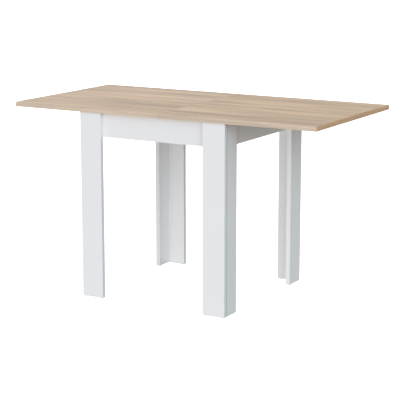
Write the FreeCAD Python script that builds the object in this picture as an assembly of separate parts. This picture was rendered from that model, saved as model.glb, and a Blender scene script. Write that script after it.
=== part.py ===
"""Swivel fold-over table: a square base on four L-section legs, a leaf that swivels on it, and a leaf
hinged to that one. Open, the two leaves lie end to end and make a top twice as long as it is wide.
Turned a quarter round its pivot and folded over, the top covers the base as a square of two layers.

Frame: millimetres, +X along the open top, +Y towards the back, +Z up. The origin is on the floor, under
the middle of the open top. The fold line runs along Y at x = 0. The swivel leaf is on the +X side and
the fold leaf on the -X side. The model stands open.
"""

import FreeCAD
import Part
import math
import os

Vector = FreeCAD.Vector

# ---------------------------------------------------------------- driving dimensions, in millimetres
# The top
top_length = 1340.0        # both leaves, open
top_width = 670.0
table_height = 770.0       # floor to the leaves' upper face
top_board = 19.0
edging = 0.8               # thickness of the strips glued round the leaves
top_ease = 0.5             # rounding of the leaves' edges
seam_gap = 0.6             # between the leaves' edging at the fold line
fold_gap = 0.3             # between the leaves' faces when one is folded over the other

# The base
closed_overhang = 9.0      # the closed top over the base, each side
seam_offset = 34.0         # the fold line lies this far to the right of the base's middle
base_board = 19.0
leg_width = 96.0           # each way, outside
apron_height = 96.0
base_ease = 0.8            # rounding of the white boards' edges
leg_dowel_count = 4
leg_dowel_end = 60.0       # from a leg's end to its first dowel

# The rail that carries the pivot
rail_board = 19.0
rail_width = 140.0

# Floor glides and the pads that the top slides on
glide_radius = 8.0
glide_height = 3.0
glide_inset = 14.0         # from a leg board's free edge to its glide
nail_radius = 1.1
nail_length = 12.0
pad_radius = 7.0
pad_height = 1.0
pad_inset = 126.0          # from the base's outer face to a pad, along its apron

# Dowels and cam fittings
dowel_radius = 4.0
dowel_in_face = 12.0
dowel_in_edge = 20.0
dowel_chamfer = 1.0
dowel_edge = 16.0          # apron's edge to dowel
cam_radius = 7.5
cam_beyond_bolt = 3.5      # depth of the cam past its bolt's axis
cam_setback = 34.0         # joint face to the cam's axis
cam_slot = 7.4
bolt_thread_radius = 2.5
bolt_thread_length = 11.0
bolt_collar_radius = 3.6
bolt_collar_length = 1.2
bolt_neck_radius = 2.0
bolt_head_radius = 3.2
bolt_head_length = 4.0
bolt_bore_radius = 4.0
cap_radius = 8.7
cap_height = 1.2
rail_cam_edge = 30.0       # rail's long edge to a cam's axis
rail_dowel_edge = 55.0

# Screws: head radius, shank radius
leg_screw_head = 4.0
leg_screw_shank = 2.0
leg_screw_bite = 13.0      # into the leg board
screw_beside_dowel = 1.5   # between a screw's head and the dowels above or below it
plate_screw_head = 4.0
plate_screw_shank = 2.0
plate_screw_length = 15.0
hinge_screw_head = 2.7
hinge_screw_shank = 1.3
hinge_screw_length = 15.0

# Butt hinges in the fold line
hinge_count = 3
hinge_length = 60.0
hinge_inset = 85.0         # leaf's edge to the middle of the outer hinges
hinge_sheet = 0.8
hinge_knuckles = 5
knuckle_radius = 1.7
knuckle_gap = 0.3
knuckle_room = 0.3         # between a knuckle and the boards or the other plate
hinge_pin_radius = 0.9
hinge_running = 0.05       # pin's radial clearance in the turning knuckles
hinge_margin = 2.0         # leaf's underside to the plates' lower edge
hinge_screws = 3
hinge_screw_end = 10.0     # plate's end to its first screw

# Swivel pivot
pivot_plate_radius = 46.0
pivot_plate_sheet = 2.5
pivot_screw_circle = 38.0
pivot_screw_count = 4
stud_radius = 5.0
stud_beyond_nut = 3.0
thrust_radius = 22.0
thrust_height = 1.5
thrust_clearance = 0.3
bush_wall = 2.0
bush_flange_radius = 12.0
bush_flange_height = 2.0
bush_running = 0.05        # stud's radial clearance in its bush
washer_radius = 15.0
washer_height = 2.5
washer_clearance = 0.4
spring_radius = 10.5
spring_height = 1.9
spring_sheet = 1.1
nut_across_flats = 17.0
nut_height = 8.0
nut_collar_radius = 7.4
nut_collar_height = 3.0
stop_radius = 3.0
stop_circle = 27.0         # distance from the pivot to the stop pin
stop_running = 0.3
stop_depth = 14.0          # pin in the rail
stop_below_leaf = 0.6
stop_start = 225.0         # degrees from +X round the pivot
swivel_turn = 90.0         # degrees from open to closed

# ---------------------------------------------------------------- derived places
leaf_length = top_length / 2
leaf_top = table_height
leaf_under = leaf_top - top_board
base_top = leaf_under - pad_height
base_low = base_top - apron_height
base_length = top_width - 2 * closed_overhang     # along X: the closed top stands a quarter turned
base_width = leaf_length - 2 * closed_overhang    # along Y
base_x = -seam_offset
half_x = base_length / 2
half_y = base_width / 2
leg_low = glide_height
b = base_board

# The leaf's middle goes from (leaf_shift, 0) to (0, 0), about the base's middle, in a quarter turn, so
# the pivot is half that far along both axes.
leaf_shift = leaf_length / 2 + seam_offset
pivot_x = base_x + leaf_shift / 2
pivot_y = leaf_shift / 2

rail_top = leaf_under - pivot_plate_sheet - thrust_height
rail_low = rail_top - rail_board
rail_mid = rail_top - rail_board / 2
apron_mid = base_low + apron_height / 2
leg_screw_edge = dowel_edge + dowel_radius + screw_beside_dowel + leg_screw_head
fold_z = leaf_top + fold_gap / 2

UP = Vector(0, 0, 1)
DOWN = Vector(0, 0, -1)
BACK = Vector(0, 1, 0)
FRONT = Vector(0, -1, 0)
RIGHT = Vector(1, 0, 0)
LEFT = Vector(-1, 0, 0)


# ---------------------------------------------------------------- shape helpers
def block(x0, x1, y0, y1, z0, z1):
    """A box between two corners."""
    return Part.makeBox(x1 - x0, y1 - y0, z1 - z0, Vector(x0, y0, z0))


def rod(radius, length, start, direction):
    """A cylinder from a point along a direction."""
    return Part.makeCylinder(radius, length, Vector(*start), direction)


def set_at(shape, start, direction):
    """Turns a shape's +Z to a direction and moves its origin to a point."""
    shape.Placement = FreeCAD.Placement(Vector(*start), FreeCAD.Rotation(UP, direction))
    return shape


def eased_board(x0, x1, y0, y1, z0, z1, radius):
    """A board with all its edges slightly rounded."""
    board = block(x0, x1, y0, y1, z0, z1)
    return board.makeFillet(radius, board.Edges)


def turned(points):
    """A solid of revolution about Z from its half outline, as (radius, height) pairs."""
    outline = [Vector(radius, 0, height) for radius, height in points]
    face = Part.Face(Part.makePolygon(outline + outline[:1]))
    return face.revolve(Vector(0, 0, 0), UP, 360)


def ring(outer, inner, height, start):
    """A flat washer standing on a point."""
    return rod(outer, height, start, UP).cut(rod(inner, height, start, UP))


def mirrored(shape):
    """The same piece on the other side of the base's middle plane."""
    return shape.mirror(Vector(base_x, 0, 0), RIGHT)


def both_sides(shapes):
    """Each piece and its mirror image across the base."""
    return [copy for shape in shapes for copy in (shape, mirrored(shape))]


def cut_all(shape, tools):
    """A shape with every tool cut from it."""
    return shape.cut(tools) if tools else shape


# ---------------------------------------------------------------- fasteners
def screw_space(head, shank, length):
    """The room that a countersunk screw fills, head at the origin and tip along +Z."""
    rim = 0.3
    tip = 2 * shank
    return turned([
        (0, 0), (head, 0), (head, rim), (shank, rim + head - shank),
        (shank, length - tip), (shank / 4, length), (0, length),
    ])


def screw(head, shank, length):
    """A countersunk screw with a cross recess."""
    slot = head / 4
    reach = head * 0.62
    depth = head * 0.5
    cross = block(-reach, reach, -slot / 2, slot / 2, 0, depth)
    cross = cross.fuse(block(-slot / 2, slot / 2, -reach, reach, 0, depth))
    return screw_space(head, shank, length).cut(cross)


def dowel(start, direction):
    """A wooden dowel whose joint face is at a point: it stands in a face behind it and an edge ahead."""
    length = dowel_in_face + dowel_in_edge
    body = turned([
        (0, -dowel_in_face), (dowel_radius - dowel_chamfer, -dowel_in_face),
        (dowel_radius, dowel_chamfer - dowel_in_face), (dowel_radius, length - dowel_in_face - dowel_chamfer),
        (dowel_radius - dowel_chamfer, dowel_in_edge), (0, dowel_in_edge),
    ])
    return set_at(body, start, direction)


def dowel_hole(start, direction):
    """The bore for a dowel, in both boards."""
    hole = rod(dowel_radius, dowel_in_face + dowel_in_edge, (0, 0, -dowel_in_face), UP)
    return set_at(hole, start, direction)


def cam_bolt(start, direction):
    """A bolt screwed into the face behind the joint, whose head reaches the cam ahead of it."""
    neck_end = cam_setback - bolt_head_length / 2
    body = turned([
        (0, -bolt_thread_length), (bolt_thread_radius, -bolt_thread_length), (bolt_thread_radius, 0),
        (bolt_collar_radius, 0), (bolt_collar_radius, bolt_collar_length),
        (bolt_neck_radius, bolt_collar_length), (bolt_neck_radius, neck_end),
        (bolt_head_radius, neck_end), (bolt_head_radius, neck_end + bolt_head_length),
        (0, neck_end + bolt_head_length),
    ])
    return set_at(body, start, direction)


def cam_bolt_hole(start, direction):
    """The thread's pilot hole and the wider bore that leads to the cam."""
    pilot = rod(bolt_thread_radius, bolt_thread_length, (0, 0, -bolt_thread_length), UP)
    bore = rod(bolt_bore_radius, cam_setback, (0, 0, 0), UP)
    return set_at(pilot.fuse(bore), start, direction)


def cam_lock(face, into, towards_bolt, board):
    """A round cam let into a board's face, open on the side that the bolt's head comes from."""
    depth = board / 2 + cam_beyond_bolt
    body = rod(cam_radius, depth, face, into)
    half = cam_slot / 2
    middle = Vector(*face) + into * (board / 2)
    channel = Part.makeCylinder(half, cam_radius + half, middle - towards_bolt * half, towards_bolt)
    recess = 1.6
    bar = Part.makeCylinder(recess, 2.2, Vector(*face), into)
    return body.cut([channel, bar])


def cam_hole(face, into, board):
    """The pocket for a cam."""
    return rod(cam_radius, board / 2 + cam_beyond_bolt, face, into)


def cam_cap(face, out):
    """A thin round cover over a cam, with a rounded rim."""
    cap = rod(cap_radius, cap_height, face, out)
    rim = [edge for edge in cap.Edges
           if edge.Closed and abs((edge.CenterOfMass - Vector(*face)).dot(out) - cap_height) < 1e-6]
    return cap.makeFillet(cap_height * 0.6, rim)


# ---------------------------------------------------------------- the base
def corner_joints():
    """Where the side aprons' ends meet the front and rear aprons, on the right side of the base."""
    x = base_x + half_x - 1.5 * b
    return [((x, side * (half_y - 2 * b)), BACK * -side) for side in (-1, 1)]


def apron_fittings():
    """Bolts, cams, caps and dowels of the right side apron, with the spaces that they need."""
    bolts, cams, caps, dowels, spaces = [], [], [], [], []
    inner = base_x + half_x - 2 * b
    spread = apron_height / 2 - dowel_edge
    for (x, y), inward in corner_joints():
        start = (x, y, apron_mid)
        face = (inner, y + inward.y * cam_setback, apron_mid)
        bolts.append(cam_bolt(start, inward))
        cams.append(cam_lock(face, RIGHT, inward * -1, b))
        caps.append(cam_cap(face, LEFT))
        spaces += [cam_bolt_hole(start, inward), cam_hole(face, RIGHT, b)]
        for offset in (-spread, spread):
            joint = (x, y, apron_mid + offset)
            dowels.append(dowel(joint, inward))
            spaces.append(dowel_hole(joint, inward))
    return bolts, cams, caps, dowels, spaces


def rail_fittings():
    """Bolts, cams, caps and dowels at both ends of the pivot rail, with the spaces that they need."""
    bolts, cams, caps, dowels, spaces = [], [], [], [], []
    cam_spread = rail_width / 2 - rail_cam_edge
    dowel_spread = rail_width / 2 - rail_dowel_edge
    for side in (-1, 1):
        x = base_x + side * (half_x - 2 * b)
        inward = RIGHT * -side
        for offset in (-cam_spread, cam_spread):
            start = (x, pivot_y + offset, rail_mid)
            face = (x - side * cam_setback, pivot_y + offset, rail_low)
            bolts.append(cam_bolt(start, inward))
            cams.append(cam_lock(face, UP, inward * -1, rail_board))
            caps.append(cam_cap(face, DOWN))
            spaces += [cam_bolt_hole(start, inward), cam_hole(face, UP, rail_board)]
        for offset in (-dowel_spread, dowel_spread):
            joint = (x, pivot_y + offset, rail_mid)
            dowels.append(dowel(joint, inward))
            spaces.append(dowel_hole(joint, inward))
    return bolts, cams, caps, dowels, spaces


def leg_screw_places():
    """Screws that pull the right legs against the aprons from inside: (point, direction)."""
    in_from_face = leg_width / 2 + b
    spread = apron_height / 2 - leg_screw_edge
    places = []
    for side in (-1, 1):
        for offset in (-spread, spread):
            z = apron_mid + offset
            along_x = (base_x + half_x - in_from_face, side * (half_y - 2 * b), z)
            along_y = (base_x + half_x - 2 * b, side * (half_y - in_from_face), z)
            places += [(along_x, BACK * side), (along_y, RIGHT)]
    return places


def leg_dowel_places():
    """Dowels in the right legs' corners: behind the face board in front, beside the side board behind."""
    step = (base_top - leg_low - 2 * leg_dowel_end) / (leg_dowel_count - 1)
    heights = [leg_low + leg_dowel_end + step * n for n in range(leg_dowel_count)]
    x = base_x + half_x
    front = [((x - b / 2, -half_y + b, z), BACK) for z in heights]
    rear = [((x - b, half_y - b / 2, z), LEFT) for z in heights]
    return front + rear


def glide_places():
    """Three glides under each right leg: at its corner and at both free ends."""
    x = base_x + half_x
    far = leg_width - glide_inset
    return [place for side in (-1, 1) for place in (
        (x - b / 2, side * (half_y - b / 2)),
        (x - far, side * (half_y - b / 2)),
        (x - b / 2, side * (half_y - far)),
    )]


def floor_glide(x, y):
    """A plastic glide on a nail, with a rounded rim."""
    rim = 1.0
    body = turned([
        (0, 0), (glide_radius - rim, 0), (glide_radius - 0.3 * rim, 0.3 * rim), (glide_radius, rim),
        (glide_radius, glide_height), (nail_radius, glide_height),
        (nail_radius, glide_height + nail_length - 2), (0, glide_height + nail_length),
    ])
    return set_at(body, (x, y, 0), UP)


def leg_boards():
    """The two boards of each right leg, before any hole is drilled."""
    x0 = base_x + half_x - leg_width
    x1 = base_x + half_x
    return {
        "leg_front_right_face": (x0, x1, -half_y, -half_y + b),
        "leg_front_right_side": (x1 - b, x1, -half_y + b, -half_y + leg_width),
        "leg_rear_right_side": (x1 - b, x1, half_y - leg_width, half_y),
        "leg_rear_right_back": (x0, x1 - b, half_y - b, half_y),
    }


def base_nodes():
    """Everything that stands still."""
    nodes = {}
    apron = apron_fittings()
    rail = rail_fittings()

    screw_length = b + leg_screw_bite
    screws, screw_spaces = [], []
    for start, direction in leg_screw_places():
        screws.append(set_at(screw(leg_screw_head, leg_screw_shank, screw_length), start, direction))
        space = screw_space(leg_screw_head, leg_screw_shank, screw_length)
        screw_spaces.append(set_at(space, start, direction))
    dowels = [dowel(*place) for place in leg_dowel_places()]
    dowel_spaces = [dowel_hole(*place) for place in leg_dowel_places()]
    glides = [floor_glide(x, y) for x, y in glide_places()]

    leg_spaces = screw_spaces + dowel_spaces + glides
    for name, (x0, x1, y0, y1) in leg_boards().items():
        board = eased_board(x0, x1, y0, y1, leg_low, base_top, base_ease)
        board = cut_all(board, leg_spaces)
        nodes[name] = [board]
        nodes[name.replace("right", "left")] = [mirrored(board)]

    frame_spaces = both_sides(apron[4] + screw_spaces) + rail[4]
    end = half_x - b
    side = half_y - b
    front = eased_board(base_x - end, base_x + end, -side, -side + b, base_low, base_top, base_ease)
    rear = eased_board(base_x - end, base_x + end, side - b, side, base_low, base_top, base_ease)
    right = eased_board(base_x + end - b, base_x + end, b - side, side - b, base_low, base_top, base_ease)
    nodes["apron_front"] = [cut_all(front, frame_spaces)]
    nodes["apron_rear"] = [cut_all(rear, frame_spaces)]
    nodes["apron_right"] = [cut_all(right, frame_spaces)]
    nodes["apron_left"] = [cut_all(mirrored(right), frame_spaces)]

    nodes["leg_screws"] = both_sides(screws)
    nodes["leg_dowels"] = both_sides(dowels)
    nodes["floor_glides"] = both_sides(glides)
    nodes["cam_bolts"] = both_sides(apron[0]) + rail[0]
    nodes["cam_locks"] = both_sides(apron[1]) + rail[1]
    nodes["cam_caps"] = both_sides(apron[2]) + rail[2]
    nodes["frame_dowels"] = both_sides(apron[3]) + rail[3]
    nodes["slide_pads"] = slide_pads()
    nodes.update(rail_nodes(rail[4]))
    return nodes


def slide_pads():
    """Low-friction pads on the aprons' upper edges."""
    x = half_x - 1.5 * b
    y = half_y - 1.5 * b
    along_x = half_x - pad_inset
    along_y = half_y - pad_inset
    places = [(side * x, end * along_y) for side in (-1, 1) for end in (-1, 1)]
    places += [(end * along_x, side * y) for side in (-1, 1) for end in (-1, 1)]
    return [rod(pad_radius, pad_height, (base_x + px, py, base_top), UP) for px, py in places]


def stop_place():
    """The stop pin's axis."""
    angle = math.radians(stop_start)
    return pivot_x + stop_circle * math.cos(angle), pivot_y + stop_circle * math.sin(angle)


def rail_nodes(fitting_spaces):
    """The flat rail between the side aprons, with the pivot's bush, thrust washer and stop pin."""
    bush_radius = stud_radius + bush_running + bush_wall
    stop_x, stop_y = stop_place()
    stop_low = rail_top - stop_depth
    reach = half_x - 2 * b
    rail = eased_board(base_x - reach, base_x + reach, pivot_y - rail_width / 2,
                       pivot_y + rail_width / 2, rail_low, rail_top, base_ease)
    bush_hole = rod(bush_radius, rail_board, (pivot_x, pivot_y, rail_low), UP)
    stop_hole = rod(stop_radius, stop_depth, (stop_x, stop_y, stop_low), UP)

    flange_low = (pivot_x, pivot_y, rail_low - bush_flange_height)
    bush = rod(bush_radius, rail_board, (pivot_x, pivot_y, rail_low), UP)
    bush = bush.fuse(rod(bush_flange_radius, bush_flange_height, flange_low, UP)).removeSplitter()
    bore = rod(stud_radius + bush_running, rail_board + bush_flange_height, flange_low, UP)
    stop = rod(stop_radius, leaf_under - stop_below_leaf - stop_low, (stop_x, stop_y, stop_low), UP)
    return {
        "pivot_rail": [cut_all(rail, fitting_spaces + [bush_hole, stop_hole])],
        "pivot_bush": [bush.cut(bore)],
        "pivot_thrust_washer": [
            ring(thrust_radius, stud_radius + thrust_clearance, thrust_height, (pivot_x, pivot_y, rail_top))
        ],
        "swivel_stop_pin": [stop.makeChamfer(0.5, [stop.Edges[0], stop.Edges[2]])],
    }


# ---------------------------------------------------------------- the pivot's moving side
def stop_slot():
    """The curved slot in the pivot plate that the stop pin runs in: as long as the swivel's turn."""
    width = stop_radius + stop_running
    low = leaf_under - pivot_plate_sheet
    outer = rod(stop_circle + width, pivot_plate_sheet, (pivot_x, pivot_y, low), UP)
    inner = rod(stop_circle - width, pivot_plate_sheet, (pivot_x, pivot_y, low), UP)
    spare = math.degrees(stop_running / stop_circle)
    first = stop_start - spare
    turn = swivel_turn + 2 * spare
    sector = Part.makeCylinder(stop_circle + width, pivot_plate_sheet,
                               Vector(pivot_x, pivot_y, low), UP, turn)
    sector.rotate(Vector(pivot_x, pivot_y, 0), UP, first)
    slot = outer.cut(inner).common(sector)
    for angle in (first, first + turn):
        x = pivot_x + stop_circle * math.cos(math.radians(angle))
        y = pivot_y + stop_circle * math.sin(math.radians(angle))
        slot = slot.fuse(rod(width, pivot_plate_sheet, (x, y, low), UP))
    return slot


def pivot_screw_places():
    """The pivot plate's screws, from its underside up into the leaf."""
    step = 2 * math.pi / pivot_screw_count
    angles = [step * (n + 0.5) for n in range(pivot_screw_count)]
    low = leaf_under - pivot_plate_sheet
    return [(pivot_x + pivot_screw_circle * math.cos(a), pivot_y + pivot_screw_circle * math.sin(a), low)
            for a in angles]


def pivot_nodes():
    """The plate and stud under the swivel leaf, and what holds the stud below the rail."""
    plate_low = leaf_under - pivot_plate_sheet
    washer_low = rail_low - bush_flange_height - washer_height
    spring_low = washer_low - spring_height
    nut_low = spring_low - nut_height - nut_collar_height
    stud_low = nut_low - stud_beyond_nut

    plate = rod(pivot_plate_radius, pivot_plate_sheet, (pivot_x, pivot_y, plate_low), UP)
    stud = rod(stud_radius, leaf_under - stud_low, (pivot_x, pivot_y, stud_low), UP)
    stud = stud.makeChamfer(1.0, [edge for edge in stud.Edges
                                  if edge.Closed and abs(edge.CenterOfMass.z - stud_low) < 1e-6])
    spaces = [set_at(screw_space(plate_screw_head, plate_screw_shank, plate_screw_length), place, UP)
              for place in pivot_screw_places()]
    plate = plate.cut(spaces + [stop_slot()]).fuse(stud).removeSplitter()

    screws = [set_at(screw(plate_screw_head, plate_screw_shank, plate_screw_length), place, UP)
              for place in pivot_screw_places()]
    spring = turned([
        (stud_radius + washer_clearance / 2, 0), (spring_radius - spring_sheet / 2, spring_height - spring_sheet),
        (spring_radius, spring_height), (spring_radius - spring_sheet, spring_height),
        (stud_radius + washer_clearance / 2, spring_sheet),
    ])
    hexagon = [Vector(nut_across_flats / math.sqrt(3) * math.cos(math.pi / 3 * n),
                      nut_across_flats / math.sqrt(3) * math.sin(math.pi / 3 * n), 0) for n in range(6)]
    nut = Part.Face(Part.makePolygon(hexagon + hexagon[:1])).extrude(UP * nut_height)
    nut = nut.common(turned([
        (0, 0), (nut_across_flats / 2, 0), (nut_across_flats / 2 + 1.4, 0.9),
        (nut_across_flats / 2 + 1.4, nut_height - 0.9), (nut_across_flats / 2, nut_height), (0, nut_height),
    ]))
    nut.translate(Vector(0, 0, nut_collar_height))
    nut = nut.fuse(rod(nut_collar_radius, nut_collar_height, (0, 0, 0), UP)).removeSplitter()
    nut = nut.cut(rod(stud_radius, nut_height + nut_collar_height, (0, 0, 0), UP))
    return spaces, {
        "pivot_plate": [plate],
        "pivot_plate_screws": screws,
        "pivot_washer": [
            ring(washer_radius, stud_radius + washer_clearance, washer_height, (pivot_x, pivot_y, washer_low))
        ],
        "pivot_spring_washer": [set_at(spring, (pivot_x, pivot_y, spring_low), UP)],
        "pivot_lock_nut": [set_at(nut, (pivot_x, pivot_y, nut_low), UP)],
    }


# ---------------------------------------------------------------- hinges in the fold line
def hinge_middles():
    """The hinges' middles along the fold line."""
    reach = top_width / 2 - hinge_inset
    return [-reach + 2 * reach * n / (hinge_count - 1) for n in range(hinge_count)]


def hinge_plate_faces():
    """A swivel-side plate's two faces: the outer one in the fold line, and the one on the board."""
    outer = seam_gap / 2 + edging - hinge_sheet
    return outer, outer + hinge_sheet


def hinge_screw_starts(middle):
    """The swivel-side screws of one hinge, on its plate's outer face."""
    outer = hinge_plate_faces()[0]
    low = leaf_under + hinge_margin
    high = fold_z - knuckle_radius - knuckle_room
    step = (hinge_length - 2 * hinge_screw_end) / (hinge_screws - 1)
    first = middle - hinge_length / 2 + hinge_screw_end
    return [(outer, first + step * n, (low + high) / 2) for n in range(hinge_screws)]


def hinge_half(middle, first_knuckle):
    """One plate of a hinge on the swivel side, with every second knuckle."""
    outer, inner = hinge_plate_faces()
    low = leaf_under + hinge_margin
    high = fold_z - knuckle_radius - knuckle_room
    y0 = middle - hinge_length / 2
    pitch = hinge_length / hinge_knuckles
    plate = block(outer, inner, y0, y0 + hinge_length, low, high)
    fixed = first_knuckle == 0
    bore = hinge_pin_radius if fixed else hinge_pin_radius + hinge_running
    for n in range(first_knuckle, hinge_knuckles, 2):
        start = y0 + pitch * n + (knuckle_gap / 2 if n else 0)
        length = pitch - knuckle_gap / 2 * ((n > 0) + (n < hinge_knuckles - 1))
        tube = rod(knuckle_radius, length, (0, start, fold_z), BACK)
        neck = block(outer, inner, start, start + length, high - knuckle_room, fold_z - bore * 0.6)
        plate = plate.fuse([tube, neck])
        plate = plate.cut(rod(bore, length, (0, start, fold_z), BACK))
    spaces = [set_at(screw_space(hinge_screw_head, hinge_screw_shank, hinge_screw_length), place, RIGHT)
              for place in hinge_screw_starts(middle)]
    return plate.cut(spaces).removeSplitter()


def hinge_space(middle):
    """What a hinge needs cut from the swivel leaf: its plate's seat and room for the knuckles."""
    low = leaf_under + hinge_margin
    y0 = middle - hinge_length / 2
    y1 = middle + hinge_length / 2
    seat = block(0, hinge_plate_faces()[1], y0, y1, low, leaf_top)
    room = knuckle_radius + knuckle_room
    notch = block(0, room, y0 - knuckle_room, y1 + knuckle_room, fold_z - room, leaf_top)
    return [seat, notch]


def across_seam(shape):
    """The fold leaf's copy of a swivel-side shape."""
    return shape.mirror(Vector(0, 0, 0), RIGHT)


def hinge_nodes():
    """All the hinges' plates, pins and screws, and the swivel-side spaces that they need."""
    fixed, folding, pins, screws, spaces = [], [], [], [], []
    for middle in hinge_middles():
        fixed.append(hinge_half(middle, 0))
        folding.append(across_seam(hinge_half(middle, 1)))
        pins.append(rod(hinge_pin_radius, hinge_length, (0, middle - hinge_length / 2, fold_z), BACK))
        spaces += hinge_space(middle)
        for place in hinge_screw_starts(middle):
            sizes = (hinge_screw_head, hinge_screw_shank, hinge_screw_length)
            screws.append(set_at(screw(*sizes), place, RIGHT))
            spaces.append(set_at(screw_space(*sizes), place, RIGHT))
    return spaces, {
        "hinge_fixed_plates": fixed,
        "hinge_pins": pins,
        "hinge_fixed_screws": screws,
    }, {
        "hinge_fold_plates": folding,
        "hinge_fold_screws": [across_seam(one) for one in screws],
    }


# ---------------------------------------------------------------- the leaves
def leaf_pieces(spaces):
    """The swivel leaf's board and its four strips of edging, with the given spaces cut from them."""
    x0, x1 = seam_gap / 2, leaf_length
    y0, y1 = -top_width / 2, top_width / 2
    blank = eased_board(x0, x1, y0, y1, leaf_under, leaf_top, top_ease)
    board = block(x0 + edging, x1 - edging, y0 + edging, y1 - edging, leaf_under, leaf_top)
    strips = [
        blank.common(block(x0, x1, y0, y0 + edging, leaf_under, leaf_top)),
        blank.common(block(x0, x1, y1 - edging, y1, leaf_under, leaf_top)),
        blank.common(block(x0, x0 + edging, y0 + edging, y1 - edging, leaf_under, leaf_top)),
        blank.common(block(x1 - edging, x1, y0 + edging, y1 - edging, leaf_under, leaf_top)),
    ]
    return cut_all(board, spaces), [cut_all(strip, spaces) for strip in strips]


def top_nodes():
    """Both leaves with their hinges and the pivot's moving side."""
    hinge_spaces, fixed_side, fold_side = hinge_nodes()
    pivot_spaces, pivot_side = pivot_nodes()
    swivel_board, swivel_strips = leaf_pieces(hinge_spaces + pivot_spaces)
    fold_board, fold_strips = leaf_pieces(hinge_spaces)
    nodes = {
        "swivel_leaf": [swivel_board],
        "swivel_leaf_edging": swivel_strips,
        "fold_leaf": [across_seam(fold_board)],
        "fold_leaf_edging": [across_seam(strip) for strip in fold_strips],
    }
    nodes.update(pivot_side)
    nodes.update(fixed_side)
    nodes.update(fold_side)
    return nodes


def solids_of(shapes):
    """The solids of a list of shapes."""
    return [solid for shape in shapes for solid in shape.Solids]


def main():
    os.makedirs("parts", exist_ok=True)
    for name, shapes in {**base_nodes(), **top_nodes()}.items():
        solids = solids_of(shapes)
        if not solids or not all(solid.isValid() and solid.Volume > 0 for solid in solids):
            raise ValueError(f"{name} isn't made of sound solids")
        shape = solids[0] if len(solids) == 1 else Part.makeCompound(solids)
        shape.exportStep(f"parts/{name}.step")
        print(name, len(solids), "solids", round(shape.Volume, 1), "mm3")


main()
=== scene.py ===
"""Finishes and fittings for the swivel fold-over table: oak-faced leaves, white boards and their hardware.

The table stands open on the floor, with +X along its top and +Y towards its back, in metres.
"""

import math

import bpy
from mathutils import Matrix, Vector


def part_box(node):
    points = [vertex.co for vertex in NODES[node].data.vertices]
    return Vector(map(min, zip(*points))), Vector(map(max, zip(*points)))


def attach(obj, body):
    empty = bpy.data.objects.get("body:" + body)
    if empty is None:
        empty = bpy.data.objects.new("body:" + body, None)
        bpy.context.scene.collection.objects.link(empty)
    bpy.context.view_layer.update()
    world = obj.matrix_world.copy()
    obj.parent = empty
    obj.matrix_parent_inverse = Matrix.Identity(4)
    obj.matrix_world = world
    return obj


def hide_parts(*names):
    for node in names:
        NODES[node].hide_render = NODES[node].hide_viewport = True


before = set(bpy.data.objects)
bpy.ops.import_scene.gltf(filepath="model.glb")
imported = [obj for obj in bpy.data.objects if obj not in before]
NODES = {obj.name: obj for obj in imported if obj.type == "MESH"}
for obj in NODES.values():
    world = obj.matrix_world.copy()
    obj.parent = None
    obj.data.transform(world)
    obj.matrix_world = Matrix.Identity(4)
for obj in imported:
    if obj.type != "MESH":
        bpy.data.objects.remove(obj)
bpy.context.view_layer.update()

bl_info = {
    "name": "Swivel fold-over table",
    "version": (1, 0, 0),
    "blender": (4, 5, 0),
    "location": "3D View > Sidebar > Table",
    "description": "Oak-faced leaves, white boards, hardware and a plain studio for a swivel fold-over table",
    "category": "Object",
}

LEAVES = ("swivel_leaf", "fold_leaf")
EDGING = ("swivel_leaf_edging", "fold_leaf_edging")
LEG_BOARDS = {
    f"leg_{end}_{side}": (f"leg_{end}_{side}_side", f"leg_{end}_{side}_{outer}")
    for end, outer in (("front", "face"), ("rear", "back")) for side in ("right", "left")
}
LEVEL_BOARDS = tuple(name for name in NODES if name.startswith("apron_")) + ("pivot_rail",)
DOWELS = ("leg_dowels", "frame_dowels")
ZINC_FITTINGS = (
    "leg_screws", "cam_bolts", "cam_locks", "swivel_stop_pin", "pivot_plate_screws",
    "pivot_washer", "pivot_spring_washer",
)
HINGE_PIECES = (
    "hinge_fixed_plates", "hinge_fold_plates", "hinge_pins", "hinge_fixed_screws", "hinge_fold_screws",
)
NYLON_PIECES = ("slide_pads", "pivot_bush", "pivot_thrust_washer")

# The broad marks in each leaf's oak, light and dark: the place of a mark's middle from the leaf's own, half
# its length and width, and how much it lightens the wood.
SWIVEL_MARKS = (
    (-0.13, 0.035, 0.26, 0.018, 0.60),
    (-0.24, -0.022, 0.16, 0.036, -0.32),
    (0.03, -0.012, 0.12, 0.022, -0.38),
    (-0.17, -0.115, 0.20, 0.028, 0.34),
    (-0.25, -0.190, 0.12, 0.042, 0.32),
    (-0.10, -0.248, 0.26, 0.018, -0.42),
    (-0.10, 0.125, 0.24, 0.045, 0.26),
    (0.04, 0.235, 0.16, 0.055, -0.22),
)
FOLD_MARKS = (
    (-0.06, 0.100, 0.28, 0.045, 0.40),
    (0.07, 0.250, 0.30, 0.036, 0.30),
    (0.16, 0.190, 0.18, 0.028, -0.32),
    (0.00, 0.000, 0.15, 0.024, 0.24),
    (0.02, -0.080, 0.17, 0.050, -0.26),
    (0.20, -0.150, 0.20, 0.045, -0.34),
    (-0.11, -0.265, 0.27, 0.044, 0.34),
)
LEAF_MARKS = (SWIVEL_MARKS, FOLD_MARKS)
LEAF_COOL = (0.0, 0.7)     # how far each leaf leans to the cooler tone

STUD_RADIUS = 0.005
THREAD_PITCH = 0.0015
NUT_BORE = STUD_RADIUS + 0.00002
WELD = 1e-6                # points closer than this are one point
SMOOTH_BELOW = math.radians(35)

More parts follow.
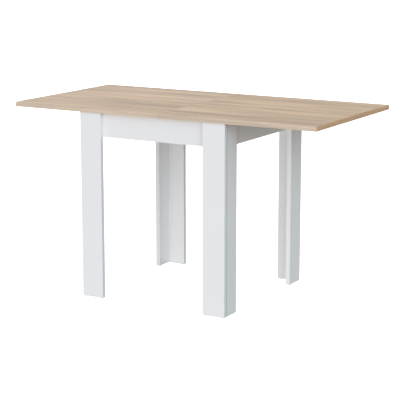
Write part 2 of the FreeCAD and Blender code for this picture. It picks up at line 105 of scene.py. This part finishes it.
# The soft lights all round: degrees round the table from the front, degrees above the floor, how narrow
# each one is, and its colour.
SOFT_LIGHTS = (
    (0, 90, 3, (0.18, 0.18, 0.17)),
    (25, 20, 10, (1.75, 1.67, 1.85)),
    (50, 20, 10, (1.05, 1.30, 1.50)),
    (80, 20, 10, (1.80, 1.94, 1.84)),
    (180, 60, 3, (0.62, 0.62, 0.58)),
    (240, 30, 3, (0.76, 0.80, 0.74)),
    (240, -30, 3, (0.94, 0.92, 1.05)),
    (200, -25, 14, (1.50, 1.50, 1.52)),
    (0, -30, 3, (1.46, 1.44, 1.38)),
)
BACKDROP = 1.02            # a little over white, so that it never looks grey


# ---------------------------------------------------------------- what a user may change
class TableFinishes(bpy.types.PropertyGroup):
    """Colours and surface sizes of the table's finishes."""

    oak_light: bpy.props.FloatVectorProperty(
        name="Light oak", description="Palest tone of the leaves' oak facing",
        subtype="COLOR", min=0, max=1, default=(0.80, 0.556, 0.368))
    oak_dark: bpy.props.FloatVectorProperty(
        name="Dark oak", description="Deepest tone of the leaves' oak facing",
        subtype="COLOR", min=0, max=1, default=(0.485, 0.323, 0.209))
    oak_cool: bpy.props.FloatVectorProperty(
        name="Cool oak", description="How much of each colour the cooler patches have, against the rest",
        subtype="XYZ", min=0, max=2, default=(1.04, 1.06, 1.13))
    edging_long: bpy.props.FloatVectorProperty(
        name="Long edging", description="Tone of the strips along the top's long sides",
        subtype="COLOR", min=0, max=1, default=(0.625, 0.50, 0.385))
    edging_short: bpy.props.FloatVectorProperty(
        name="Short edging", description="Warmer tone of the strips across the top's ends",
        subtype="COLOR", min=0, max=1, default=(0.665, 0.425, 0.26))
    ring_width: bpy.props.FloatProperty(
        name="Ring width", description="Distance between growth rings across the grain",
        default=0.021, min=0.004, max=0.1, unit="LENGTH")
    pore_depth: bpy.props.FloatProperty(
        name="Pore depth", description="Depth of the pores pressed into the oak facing",
        default=0.00012, min=0, max=0.001, unit="LENGTH")
    white: bpy.props.FloatVectorProperty(
        name="White", description="Tone of the base's boards",
        subtype="COLOR", min=0, max=1, default=(0.782, 0.788, 0.792))
    zinc: bpy.props.FloatVectorProperty(
        name="Zinc", description="Tone of the plated steel",
        subtype="COLOR", min=0, max=1, default=(0.62, 0.635, 0.65))
    hinge: bpy.props.FloatVectorProperty(
        name="Hinge lacquer", description="Oak-tone lacquer on the hinges in the fold line",
        subtype="COLOR", min=0, max=1, default=(0.70, 0.52, 0.37))


class StudioSettings(bpy.types.PropertyGroup):
    """The camera, the floor and the soft light round the table."""

    camera_place: bpy.props.FloatVectorProperty(
        name="Camera place", description="Where the camera stands", subtype="XYZ",
        unit="LENGTH", default=(2.729, -4.695, 1.499))
    camera_turn: bpy.props.FloatProperty(
        name="Camera turn", description="Turn of the camera about the vertical, from looking along +Y",
        subtype="ANGLE", default=math.radians(30.2))
    camera_tilt: bpy.props.FloatProperty(
        name="Camera tilt", description="How far the camera looks down",
        subtype="ANGLE", default=math.radians(11.7))
    lens: bpy.props.FloatProperty(
        name="Lens", description="Focal length in millimetres", default=123.0, min=10, max=400)
    floor_size: bpy.props.FloatProperty(
        name="Floor size", description="Width of the floor", default=60.0, min=4, unit="LENGTH")
    light: bpy.props.FloatProperty(
        name="Light", description="Strength of all the soft lights together", default=1.0, min=0)


# ---------------------------------------------------------------- materials as expressions
class Term:
    """A socket that can be used in Python expressions: each operation adds its Math node."""

    def __init__(self, shader, socket):
        self.shader = shader
        self.socket = socket

    def maths(self, operation, *others):
        """Adds a Math node that starts from this socket."""
        return self.shader.node("ShaderNodeMath", {"operation": operation}, dict(enumerate((self, *others))))

    def __add__(self, other):
        return self.maths("ADD", other)

    def __mul__(self, other):
        return self.maths("MULTIPLY", other)

    def __sub__(self, other):
        return self.maths("SUBTRACT", other)

    def __rsub__(self, other):
        return self.shader.node("ShaderNodeMath", {"operation": "SUBTRACT"}, {0: other, 1: self})

    def __truediv__(self, other):
        return self.maths("DIVIDE", other)

    def __pow__(self, other):
        return self.maths("POWER", other)

    __radd__ = __add__
    __rmul__ = __mul__

    def below(self, limit):
        """1 where this is less than a limit, and 0 elsewhere."""
        return self.maths("LESS_THAN", limit)

    def above(self, limit):
        """1 where this is more than a limit, and 0 elsewhere."""
        return self.maths("GREATER_THAN", limit)

    def ramp(self, low, high, to_low=0.0, to_high=1.0):
        """Rises smoothly from to_low at low to to_high at high."""
        return self.shader.node("ShaderNodeMapRange", {"interpolation_type": "SMOOTHSTEP"}, {
            "Value": self, "From Min": low, "From Max": high, "To Min": to_low, "To Max": to_high,
        })


class Shader:
    """The node tree of a material or a world, emptied. node() adds any node to it."""

    def __init__(self, owner):
        owner.use_nodes = True
        self.tree = owner.node_tree
        self.tree.nodes.clear()

    def node(self, kind, settings=None, inputs=None, output=0):
        """Adds a node of a type: its settings first, then its sockets' values or links."""
        made = self.tree.nodes.new(kind)
        for key, value in (settings or {}).items():
            setattr(made, key, value)
        for key, value in (inputs or {}).items():
            if isinstance(value, Term):
                self.tree.links.new(value.socket, made.inputs[key])
            else:
                made.inputs[key].default_value = value
        return Term(self, made.outputs[output]) if made.outputs else None

    def vector(self, operation, *values, output="Vector"):
        """Vector maths, for what a Math node would flatten to one number."""
        return self.node("ShaderNodeVectorMath", {"operation": operation}, dict(enumerate(values)), output)

    def shaded(self, colour, tone):
        """A colour made lighter or darker by a factor."""
        return self.node("ShaderNodeVectorMath", {"operation": "SCALE"}, {
            0: colour if isinstance(colour, Term) else tuple(colour), "Scale": tone,
        })


class Finish(Shader):
    """One material, with names for the nodes that finishes use often."""

    def __init__(self, name):
        self.material = bpy.data.materials.new(name)
        super().__init__(self.material)
        self.place = self.node("ShaderNodeTexCoord", output="Object")
        parts = self.node("ShaderNodeSeparateXYZ", None, {0: self.place}).socket.node
        self.x, self.y, self.z = (Term(self, socket) for socket in parts.outputs)

    def point(self, x, y, z=0.0):
        """A vector from three numbers or sockets."""
        return self.node("ShaderNodeCombineXYZ", None, {0: x, 1: y, 2: z})

    def noise(self, point, scale=1.0, detail=2.0, roughness=0.5, distortion=0.0):
        """Soft noise between 0 and 1, read at a point."""
        return self.node("ShaderNodeTexNoise", None, {
            "Vector": point, "Scale": scale, "Detail": detail,
            "Roughness": roughness, "Distortion": distortion,
        })

    def mix(self, factor, first, second):
        """A colour between two others, through the Mix node's colour sockets."""
        first_colour, second_colour, mixed_colour = 6, 7, 2
        return self.node("ShaderNodeMix", {"data_type": "RGBA"}, {
            "Factor": factor, first_colour: self.colour(first), second_colour: self.colour(second),
        }, mixed_colour)

    @staticmethod
    def colour(value):
        """A colour as its socket takes it, with full alpha."""
        return value if isinstance(value, Term) else (*value[:3], 1.0)

    def bump(self, height, depth, strength):
        """A surface normal from a height between 0 and 1, that many metres deep."""
        return self.node("ShaderNodeBump", None, {
            "Height": height, "Distance": depth, "Strength": strength,
        })

    def surface(self, **sockets):
        """The material's shader, with its sockets named in plain words."""
        inputs = {key.replace("_", " "): self.colour(value) if key == "Base_Color" else value
                  for key, value in sockets.items()}
        shader = self.node("ShaderNodeBsdfPrincipled", None, inputs)
        self.node("ShaderNodeOutputMaterial", None, {"Surface": shader})
        return self.material


def tinted(colour, tint):
    """A colour with each of its three parts scaled by the tint's."""
    return [part * share for part, share in zip(colour, tint)]


def oak_facing(name, sizes, low, high, marks, cool, seed):
    """Light oak facing of one leaf: bands, streaks, rings and pores along X, and the leaf's own broad marks.

    The underside shows another part of the same pattern, more than a leaf away, where the marks don't reach.
    """
    oak = Finish(name)
    middle = (low + high) / 2
    under = oak.z.below(middle.z)
    along = oak.x - middle.x + under * 2.3
    across = oak.y - middle.y + under * 1.1

    def grain(per_metre_along, per_metre_across, layer, detail=2.0, roughness=0.5, line=across):
        """Noise drawn out along the grain, with about that many changes in a metre each way."""
        point = oak.point(along * per_metre_along, line * per_metre_across, seed + layer)
        return oak.noise(point, detail=detail, roughness=roughness)

    swayed = across + (grain(1.1, 2.2, 0.0) - 0.5) * 0.05
    bands = grain(0.9, 10.0, 3.7, roughness=0.6, line=swayed)
    stripes = grain(2.2, 33.0, 7.9, roughness=0.65, line=swayed)
    streaks = grain(3.0, 90.0, 9.2, detail=3.0, roughness=0.6, line=swayed)
    fibres = grain(5.0, 420.0, 1.3, roughness=0.7)
    patches = grain(1.6, 5.0, 6.1, detail=1.0)

    heart = oak.point(along * 0.055 + 0.012, swayed + 0.035)
    rings = oak.node("ShaderNodeTexWave", {"wave_type": "RINGS", "rings_direction": "Z"}, {
        "Vector": heart, "Scale": math.pi / (10 * sizes.ring_width), "Distortion": 2.4,
        "Detail": 2.0, "Detail Scale": 9.0, "Detail Roughness": 0.55,
    }, "Fac")
    figured = grain(0.9, 4.5, 12.8, detail=1.0).ramp(0.42, 0.62)
    ring_lines = (rings ** 2.2) * figured

    tone = (
        bands.ramp(0.30, 0.70) * 0.50 + stripes.ramp(0.30, 0.70) * 0.56 + streaks.ramp(0.25, 0.75) * 0.30
        + fibres * 0.10 - ring_lines * 0.18 - 0.19
    )
    for mark_along, mark_across, half_length, half_width, lighter in marks:
        offset = oak.point((along - mark_along) / half_length, (swayed - mark_across) / half_width)
        reach = oak.vector("LENGTH", offset, output="Value")
        tone = tone + reach.ramp(0.35, 1.15, lighter, 0.0) * streaks.ramp(0.2, 0.7, 0.7, 1.2)
    warm = oak.mix(tone, sizes.oak_dark, sizes.oak_light)
    cooler = oak.mix(tone, tinted(sizes.oak_dark, sizes.oak_cool), tinted(sizes.oak_light, sizes.oak_cool))
    oak_colour = oak.mix(patches.ramp(0.35, 0.65) * 0.3 + cool, warm, cooler)

    pores = grain(38.0, 900.0, 4.4, detail=1.0, roughness=0.4)
    pore_mask = pores.ramp(0.60, 0.70) * streaks.ramp(0.35, 0.6, 1.0, 0.25)
    oak_colour = oak.shaded(oak_colour, 1.0 - pore_mask * 0.16)
    relief = (1.0 - pore_mask) * 0.7 + fibres * 0.3
    return oak.surface(
        Base_Color=oak_colour, Roughness=streaks * 0.10 + pore_mask * 0.12 + 0.40,
        Specular_IOR_Level=0.42, Normal=oak.bump(relief, sizes.pore_depth, 0.7),
    )


def oak_edging(name, sizes, low, high, seed):
    """Oak-pattern strips: fine streaks along each strip, and a warmer tone on the top's outer end."""
    strip = Finish(name)
    end = 0.0015               # more than the strips' thickness
    left, right = strip.x.below(low.x + end), strip.x.above(high.x - end)
    across_end = left + right
    outer_end = left if low.x + high.x < 0 else right
    run = strip.x * (1.0 - across_end) + strip.y * across_end
    streaks = strip.noise(strip.point(run * 5.0, strip.z * 230.0, seed), detail=4.0, roughness=0.6)
    bands = strip.noise(strip.point(run * 3.0, strip.z * 60.0, seed + 5.0), detail=2.0)
    colour = strip.mix(outer_end, sizes.edging_long, sizes.edging_short)
    tone = streaks.ramp(0.2, 0.8, 0.84, 1.12) * bands.ramp(0.25, 0.75, 0.90, 1.08)
    pores = strip.noise(strip.point(run * 50.0, strip.z * 1500.0, seed + 2.0), detail=1.0).ramp(0.60, 0.72)
    colour = strip.shaded(colour, tone * (1.0 - pores * 0.12))
    return strip.surface(
        Base_Color=colour, Roughness=streaks * 0.10 + 0.42,
        Specular_IOR_Level=0.4, Normal=strip.bump(1.0 - pores, sizes.pore_depth, 0.5),
    )


def white_facing(name, sizes, seed, joint=None):
    """Satin white facing with a faint pressed texture along the board, and painted shade in the groove along
    a leg's joint.

    joint is the joint's place in plan. Boards without one lie level.
    """
    white = Finish(name)
    run, wide = (white.z, white.x) if joint else (white.x, white.z)
    cloud = white.noise(white.point(white.x * 3.0, white.y * 3.0, white.z * 3.0 + seed), detail=2.0)
    press = white.noise(white.point(run * 120.0, wide * 900.0, white.y * 900.0), detail=3.0, roughness=0.6)
    grain = white.noise(white.place, scale=1400.0, detail=2.0)
    rubs = white.point(run * 14.0, wide * 60.0, white.y * 60.0 + seed)
    scuffs = white.noise(rubs, detail=3.0).ramp(0.62, 0.78)
    tone = cloud.ramp(0.2, 0.8, 0.988, 1.008) * press.ramp(0.2, 0.8, 0.994, 1.004)
    if joint:
        # painted shade: the facing darkens to 0.42 within about 2 mm of the joint line, standing in for the
        # shadow in the groove between the boards
        joint_shade_distance = white.vector("LENGTH", white.point(white.x - joint[0], white.y - joint[1]), output="Value")
        tone = tone * joint_shade_distance.ramp(0.0007, 0.0024, 0.42, 1.0)
    return white.surface(
        Base_Color=white.shaded(sizes.white, tone), Roughness=cloud * 0.08 + scuffs * 0.05 + 0.34,
        Specular_IOR_Level=0.45, Normal=white.bump(press * 0.6 + grain * 0.4, 0.00004, 0.6),
    )


def beech(name):
    """Turned beech with short dark flecks."""
    wood = Finish(name)
    flecks = wood.noise(wood.place, scale=420.0, detail=2.0).ramp(0.6, 0.75)
    rings = wood.noise(wood.point(wood.x * 40.0, wood.y * 40.0, wood.z * 160.0 + 2.0), detail=3.0)
    colour = wood.mix(rings.ramp(0.3, 0.7), (0.62, 0.44, 0.27), (0.78, 0.62, 0.44))
    return wood.surface(
        Base_Color=wood.shaded(colour, 1.0 - flecks * 0.2), Roughness=rings * 0.15 + 0.55,
        Normal=wood.bump(rings, 0.0001, 0.6),
    )


def plated_steel(name, colour, centre=None):
    """Zinc-plated steel with a soft mottle. With a centre, lathe marks and a thread ring the axis there."""
    zinc = Finish(name)
    mottle = zinc.noise(zinc.place, scale=260.0, detail=4.0, roughness=0.6)
    broad = zinc.noise(zinc.place, scale=40.0, detail=2.0)
    tint = zinc.mix(broad.ramp(0.35, 0.65), colour, tinted(colour, (0.93, 0.96, 1.0)))
    height, depth = mottle, 0.00005
    if centre is not None:
        right = zinc.x - centre.x
        back = zinc.y - centre.y
        radius = (right * right + back * back) ** 0.5
        turn = back.maths("ARCTAN2", right) / math.tau
        thread = (zinc.z / THREAD_PITCH + turn).maths("PINGPONG", 0.5) * 2.0
        on_stud = radius.below(STUD_RADIUS + 0.0003)
        lathe = zinc.noise(zinc.point(radius * 1800.0, 0.0), detail=1.0)
        height = thread * on_stud + (lathe * 0.2 + mottle * 0.1) * (1.0 - on_stud)
        depth = 0.0006
    return zinc.surface(
        Base_Color=zinc.shaded(tint, mottle.ramp(0.2, 0.8, 0.92, 1.05)), Metallic=1.0,
        Roughness=mottle * 0.18 + 0.26, Normal=zinc.bump(height, depth, 0.7),
    )


def hinge_lacquer(name, colour):
    """Satin lacquer on steel: a slightly mottled tone over drawn marks, with rubbed specks."""
    lacquer = Finish(name)
    drawn = lacquer.noise(lacquer.point(lacquer.x * 3000.0, lacquer.y * 60.0, lacquer.z * 3000.0), detail=2.0)
    mottle = lacquer.noise(lacquer.place, scale=160.0, detail=4.0, roughness=0.6)
    rubbed = lacquer.noise(lacquer.place, scale=900.0, detail=3.0).ramp(0.70, 0.76)
    tint = lacquer.shaded(colour, mottle.ramp(0.3, 0.7, 0.93, 1.04) * drawn.ramp(0.3, 0.7, 0.97, 1.02))
    return lacquer.surface(
        Base_Color=lacquer.mix(rubbed * 0.4, tint, (0.55, 0.53, 0.50)), Metallic=rubbed * 0.5,
        Roughness=mottle * 0.14 + 0.34, Normal=lacquer.bump(drawn, 0.00003, 0.5),
    )


def moulded_plastic(name, colour, gloss=0.45):
    """Moulded plastic or nylon with a fine spark-eroded skin."""
    plastic = Finish(name)
    skin = plastic.noise(plastic.place, scale=2600.0, detail=2.0)
    flow = plastic.noise(plastic.place, scale=90.0, detail=3.0, distortion=1.2)
    return plastic.surface(
        Base_Color=plastic.shaded(colour, flow.ramp(0.2, 0.8, 0.97, 1.01)),
        Roughness=flow * 0.1 + gloss - 0.05, Normal=plastic.bump(skin, 0.00003, 0.5),
    )


def give(names, material):
    """Puts a material on every face of the named nodes."""
    for name in names:
        for place in NODES[name].material_slots:
            place.material = material


# ---------------------------------------------------------------- modelling
def select_only(*things):
    """Leaves just these objects selected, the first of them active."""
    bpy.ops.object.select_all(action="DESELECT")
    for thing in things:
        thing.select_set(True)
    bpy.context.view_layer.objects.active = things[0]


def islands(name):
    """The boxes of a node's separate solids, as (lowest corner, highest corner)."""
    scratch = NODES[name].copy()
    scratch.data = scratch.data.copy()
    bpy.context.scene.collection.objects.link(scratch)
    select_only(scratch)
    bpy.ops.object.mode_set(mode="EDIT")
    bpy.ops.mesh.select_all(action="SELECT")
    bpy.ops.mesh.remove_doubles(threshold=WELD)
    bpy.ops.mesh.separate(type="LOOSE")
    bpy.ops.object.mode_set(mode="OBJECT")
    found = []
    for part in list(bpy.context.selected_objects):
        points = [vertex.co for vertex in part.data.vertices]
        found.append((
            Vector(min(point[axis] for point in points) for axis in range(3)),
            Vector(max(point[axis] for point in points) for axis in range(3)),
        ))
        bpy.data.objects.remove(part)
    return sorted(found, key=lambda box: tuple(box[0]))


def face_up(thing, height):
    """Selects the faces of the active mesh that look up at a height, in edit mode, and nothing else."""
    bpy.ops.object.mode_set(mode="OBJECT")
    for edge in thing.data.edges:
        edge.select = False
    for vertex in thing.data.vertices:
        vertex.select = False
    for face in thing.data.polygons:
        face.select = face.normal.z > 0.9 and abs(face.center.z - height) < WELD
    bpy.ops.object.mode_set(mode="EDIT")


def turned_piece(name, outline, steps=48):
    """A closed piece turned about Z from its outline, given as (radius, height) pairs round a loop."""
    bpy.ops.object.select_all(action="DESELECT")
    bpy.ops.mesh.primitive_circle_add(vertices=len(outline), radius=outline[0][0], location=(0, 0, 0))
    thing = bpy.context.object
    thing.name = name
    for corner, (radius, height) in zip(thing.data.vertices, outline):
        corner.co = (radius, 0, height)
    select_only(thing)
    bpy.ops.object.mode_set(mode="EDIT")
    bpy.ops.mesh.select_all(action="SELECT")
    bpy.ops.mesh.spin(steps=steps, angle=math.tau, center=(0, 0, 0), axis=(0, 0, 1))
    bpy.ops.mesh.select_all(action="SELECT")
    bpy.ops.mesh.remove_doubles(threshold=WELD)
    bpy.ops.mesh.normals_make_consistent(inside=False)
    bpy.ops.object.mode_set(mode="OBJECT")
    return thing


def finish_piece(thing, body):
    """Smooths a piece's curved faces and hands it to its body."""
    select_only(thing)
    bpy.ops.object.transform_apply(location=True, rotation=True, scale=True)
    bpy.ops.object.shade_smooth_by_angle(angle=SMOOTH_BELOW)
    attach(thing, body)
    return thing


def boolean(thing, tool, operation):
    """Applies a boolean with another object and removes that object."""
    select_only(thing)
    change = thing.modifiers.new("cut", "BOOLEAN")
    change.operation = operation
    change.object = tool
    change.solver = "EXACT"
    bpy.ops.object.modifier_apply(modifier=change.name)
    bpy.data.objects.remove(tool)


# ---------------------------------------------------------------- one operator for each group of pieces
class TableOperator:
    """What the table's operators share."""

    bl_options = {"REGISTER", "UNDO"}

    @property
    def sizes(self):
        return bpy.context.scene.table_finishes


class TABLE_OT_leaves(TableOperator, bpy.types.Operator):
    """Face both leaves with light oak, with the grain along the open top"""

    bl_idname = "table.leaves"
    bl_label = "Leaves"

    def execute(self, context):
        for seed, (name, marks, cool) in enumerate(zip(LEAVES, LEAF_MARKS, LEAF_COOL)):
            low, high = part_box(name)
            material = oak_facing(f"oak_facing_{name}", self.sizes, low, high, marks, cool, 1.7 + 8.3 * seed)
            give([name], material)
        return {"FINISHED"}


class TABLE_OT_edging(TableOperator, bpy.types.Operator):
    """Give the leaves' edging its oak pattern"""

    bl_idname = "table.edging"
    bl_label = "Edging"

    def execute(self, context):
        for seed, name in enumerate(EDGING):
            low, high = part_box(name)
            give([name], oak_edging(f"oak_pattern_{name}", self.sizes, low, high, 4.0 + seed))
        return {"FINISHED"}


class TABLE_OT_base_boards(TableOperator, bpy.types.Operator):
    """Face the legs, the aprons and the rail with white, with painted shade in the groove where a leg's
    boards meet
    """

    bl_idname = "table.base_boards"
    bl_label = "Base boards"

    def execute(self, context):
        give(LEVEL_BOARDS, white_facing("satin_white_level", self.sizes, 0.0))
        for seed, leg in enumerate(LEG_BOARDS):
            # each leg's facing carries painted shade along the joint between its boards
            give(LEG_BOARDS[leg], white_facing(f"satin_white_{leg}", self.sizes, seed + 1.0, self.joint(leg)))
        return {"FINISHED"}

    @staticmethod
    def joint(leg):
        """Where, in plan, the outside shows the end of the board that the other one covers."""
        low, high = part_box(leg + ("_side" if "front" in leg else "_back"))
        return (high.x if "right" in leg else low.x), (low.y if "front" in leg else high.y)


class TABLE_OT_joinery(TableOperator, bpy.types.Operator):
    """Finish the dowels, screws, bolts, cams and washers"""

    bl_idname = "table.joinery"
    bl_label = "Joinery"

    def execute(self, context):
        give(DOWELS, beech("beech_dowel"))
        give(ZINC_FITTINGS, plated_steel("zinc_plate", self.sizes.zinc))
        low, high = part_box("pivot_bush")
        give(["pivot_plate"], plated_steel("zinc_plate_threaded", self.sizes.zinc, (low + high) / 2))
        return {"FINISHED"}


class TABLE_OT_hinges(TableOperator, bpy.types.Operator):
    """Finish the hinges in the fold line"""

    bl_idname = "table.hinges"
    bl_label = "Hinges"

    def execute(self, context):
        give(HINGE_PIECES, hinge_lacquer("oak_tone_lacquer", self.sizes.hinge))
        return {"FINISHED"}


class TABLE_OT_plastics(TableOperator, bpy.types.Operator):
    """Finish the floor glides, the slide pads, the bush and the thrust washer"""

    bl_idname = "table.plastics"
    bl_label = "Plastic pieces"

    def execute(self, context):
        give(["floor_glides"], moulded_plastic("white_glide", (0.80, 0.80, 0.79)))
        give(NYLON_PIECES, moulded_plastic("natural_nylon", (0.76, 0.75, 0.69), 0.38))
        return {"FINISHED"}


class TABLE_OT_cam_caps(TableOperator, bpy.types.Operator):
    """Model the domed caps over the cams, each with a rim and a notch for prising it off"""

    bl_idname = "table.cam_caps"
    bl_label = "Cam caps"

    def execute(self, context):
        boxes = islands("cam_caps")
        if not boxes:
            raise RuntimeError("the frame has no cam caps")
        material = moulded_plastic("white_cap", (0.80, 0.805, 0.81), 0.40)
        for number, (low, high) in enumerate(boxes, 1):
            span = high - low
            thin = min(range(3), key=lambda axis: span[axis])
            radius = max(span) / 2
            height = span[thin]
            cap = self.one_cap(f"cam_cap_{number}", radius, height)
            middle = (low + high) / 2
            if thin == 2:
                out = Vector((0, 0, -1))
            else:
                out = Vector((1 if middle.x < self.base_middle() else -1, 0, 0))
            foot = middle - out * height / 2
            cap.data.transform(Matrix.Translation(foot) @ out.to_track_quat("Z", "Y").to_matrix().to_4x4())
            cap.data.materials.append(material)
            finish_piece(cap, "base")
        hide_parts("cam_caps")
        return {"FINISHED"}

    @staticmethod
    def base_middle():
        low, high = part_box("pivot_rail")
        return (low.x + high.x) / 2

    @staticmethod
    def one_cap(name, radius, height):
        """A cap on Z = 0: a flat rim, a shallow dome inside it and a notch in the rim."""
        rim, step, shoulder, crown = (height * share for share in (0.5, 0.25, 0.14, 0.11))
        bpy.ops.object.select_all(action="DESELECT")
        bpy.ops.mesh.primitive_cylinder_add(vertices=48, radius=radius, depth=rim, location=(0, 0, rim / 2))
        cap = bpy.context.object
        cap.name = name
        select_only(cap)
        bpy.ops.object.transform_apply(location=True, rotation=True, scale=True)
        face_up(cap, rim)
        bpy.ops.mesh.inset(thickness=radius * 0.10)
        bpy.ops.mesh.extrude_region_move(TRANSFORM_OT_translate={"value": (0, 0, step)})
        for inward, rise in ((0.12, shoulder), (0.35, crown)):
            bpy.ops.mesh.inset(thickness=radius * inward)
            bpy.ops.transform.translate(value=(0, 0, rise))
        bpy.ops.object.mode_set(mode="OBJECT")
        bpy.ops.mesh.primitive_cube_add(size=1, location=(radius, 0, rim))
        notch = bpy.context.object
        notch.dimensions = (radius * 0.16, radius * 0.42, height * 0.4)
        select_only(notch)
        bpy.ops.object.transform_apply(location=True, rotation=True, scale=True)
        boolean(cap, notch, "DIFFERENCE")
        select_only(cap)
        soften = cap.modifiers.new("soften", "BEVEL")
        soften.width = height * 0.10
        soften.segments = 2
        soften.limit_method = "ANGLE"
        soften.angle_limit = math.radians(50)
        bpy.ops.object.modifier_apply(modifier=soften.name)
        return cap


class TABLE_OT_lock_nut(TableOperator, bpy.types.Operator):
    """Model the lock nut under the rail: a chamfered hexagon, a rolled collar and its nylon insert"""

    bl_idname = "table.lock_nut"
    bl_label = "Lock nut"

    def execute(self, context):
        low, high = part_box("pivot_lock_nut")
        centre = (low + high) / 2
        flats = min(high.x - low.x, high.y - low.y)
        tall = high.z - low.z
        collar = tall * 3 / 11
        lip, outside, overlap = flats * 0.39, flats * 0.435, 0.0005
        bore = NUT_BORE
        nut = self.hexagon("pivot_lock_nut_body", flats, tall - collar)
        rim = turned_piece("nut_collar", [
            (lip, 0.0004), (flats * 0.41, 0.0), (flats * 0.425, 0.0002), (outside, 0.0008),
            (outside, collar + overlap), (bore + 0.0002, collar + overlap), (bore + 0.0002, collar),
            (lip, collar * 0.9),
        ])
        nut.data.transform(Matrix.Translation((0, 0, collar)))
        boolean(nut, rim, "UNION")
        insert = turned_piece("pivot_lock_nut_insert", [
            (bore, 0.0006), (bore + 0.0003, 0.0003), (flats * 0.385, 0.0003), (flats * 0.385, collar * 0.88),
            (bore, collar * 0.88),
        ])
        for piece, finish, slot in (
            (nut, plated_steel("zinc_plate_nut", self.sizes.zinc), "zinc_steel"),
            (insert, moulded_plastic("nylon_insert", (0.18, 0.30, 0.55), 0.35), "pale_nylon"),
        ):
            piece.data.transform(Matrix.Translation((centre.x, centre.y, low.z)))
            piece.data.materials.clear()
            piece.data.materials.append(finish)
            finish_piece(piece, "swivel_part")
        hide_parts("pivot_lock_nut")
        return {"FINISHED"}

    @staticmethod
    def hexagon(name, flats, height):
        """A hexagon with a round bore, standing on Z = 0, its corners chamfered at both ends."""
        bpy.ops.object.select_all(action="DESELECT")
        bpy.ops.mesh.primitive_cylinder_add(vertices=6, radius=flats / math.sqrt(3), depth=height,
                                            location=(0, 0, height / 2), rotation=(0, 0, math.radians(30)))
        nut = bpy.context.object
        nut.name = name
        select_only(nut)
        bpy.ops.object.transform_apply(location=True, rotation=True, scale=True)
        flat_end, beyond_corners, chamfer = flats * 0.49, flats * 0.60, flats * 0.062
        past = 0.0001              # how far the cone stands out of the hexagon's ends
        cone = turned_piece("corner_cone", [
            (NUT_BORE, -past), (flat_end, -past), (flat_end, 0.0), (beyond_corners, chamfer),
            (beyond_corners, height - chamfer), (flat_end, height), (NUT_BORE, height + past),
        ], 64)
        boolean(nut, cone, "INTERSECT")
        return nut


class TABLE_OT_stage(TableOperator, bpy.types.Operator):
    """Set out the plain floor, the soft light from all round and the camera"""

    bl_idname = "table.stage"
    bl_label = "Stage"

    def execute(self, context):
        studio = context.scene.studio_settings
        self.lay_floor(studio)
        self.light_room(context.scene, studio)
        self.place_camera(context.scene, studio)
        return {"FINISHED"}

    @staticmethod
    def lay_floor(studio):
        bpy.ops.object.select_all(action="DESELECT")
        bpy.ops.mesh.primitive_plane_add(size=studio.floor_size, location=(0, 0, 0))
        floor = bpy.context.object
        floor.name = "studio_floor"
        pale = Finish("pale_floor")
        cloud = pale.noise(pale.place, scale=0.8, detail=2.0)
        floor.data.materials.append(pale.surface(
            Base_Color=pale.shaded((0.9, 0.9, 0.9), cloud.ramp(0.2, 0.8, 0.98, 1.0)), Roughness=0.9,
            Emission_Color=(1.0, 1.0, 1.0, 1.0), Emission_Strength=1.0,
        ))
        pale.material.cycles.emission_sampling = "NONE"
        floor.visible_diffuse = floor.visible_glossy = floor.visible_shadow = False

    @staticmethod
    def light_room(scene, studio):
        """Broad soft lights out of view, and a plain white backdrop."""
        world = bpy.data.worlds.new("studio_light")
        room = Shader(world)
        towards = room.node("ShaderNodeTexCoord", output="Generated")
        total = None
        for turn, height, focus, colour in SOFT_LIGHTS:
            turn, height = math.radians(turn), math.radians(height)
            aim = (math.sin(turn) * math.cos(height), -math.cos(turn) * math.cos(height), math.sin(height))
            facing = room.vector("DOT_PRODUCT", towards, aim, output="Value")
            shine = room.shaded(colour, facing.maths("MAXIMUM", 0.0) ** focus)
            total = shine if total is None else room.vector("ADD", total, shine)
        light = room.node("ShaderNodeBackground", None, {"Color": total, "Strength": studio.light})
        backdrop = room.node("ShaderNodeBackground", None, {
            "Color": (1.0, 1.0, 1.0, 1.0), "Strength": BACKDROP,
        })
        seen = room.node("ShaderNodeLightPath", output="Is Camera Ray")
        mixed = room.node("ShaderNodeMixShader", None, {0: seen, 1: light, 2: backdrop})
        room.node("ShaderNodeOutputWorld", None, {"Surface": mixed})
        scene.world = world
        scene.view_settings.view_transform = "Standard"

    @staticmethod
    def place_camera(scene, studio):
        lens = bpy.data.cameras.new("studio_camera")
        lens.lens = studio.lens
        lens.clip_end = 200
        camera = bpy.data.objects.new("studio_camera", lens)
        camera.location = studio.camera_place
        camera.rotation_euler = (math.pi / 2 - studio.camera_tilt, 0, studio.camera_turn)
        scene.collection.objects.link(camera)
        scene.camera = camera


class TABLE_PT_panel(bpy.types.Panel):
    """Lists the table's operators and the settings that they read"""

    bl_idname = "TABLE_PT_panel"
    bl_label = "Table"
    bl_space_type = "VIEW_3D"
    bl_region_type = "UI"
    bl_category = "Table"

    def draw(self, context):
        layout = self.layout
        for operator in OPERATORS:
            layout.operator(operator.bl_idname)
        for settings in (context.scene.table_finishes, context.scene.studio_settings):
            box = layout.box()
            for key in settings.__annotations__:
                box.prop(settings, key)


OPERATORS = (
    TABLE_OT_leaves, TABLE_OT_edging, TABLE_OT_base_boards, TABLE_OT_joinery, TABLE_OT_hinges,
    TABLE_OT_plastics, TABLE_OT_cam_caps, TABLE_OT_lock_nut, TABLE_OT_stage,
)
CLASSES = (TableFinishes, StudioSettings, *OPERATORS, TABLE_PT_panel)


def register():
    for one in CLASSES:
        bpy.utils.register_class(one)
    bpy.types.Scene.table_finishes = bpy.props.PointerProperty(type=TableFinishes)
    bpy.types.Scene.studio_settings = bpy.props.PointerProperty(type=StudioSettings)


def unregister():
    del bpy.types.Scene.studio_settings
    del bpy.types.Scene.table_finishes
    for one in reversed(CLASSES):
        bpy.utils.unregister_class(one)


def main():
    register()
    for operator in OPERATORS:
        group, name = operator.bl_idname.split(".")
        getattr(getattr(bpy.ops, group), name)()


if __name__ == "__main__":
    main()
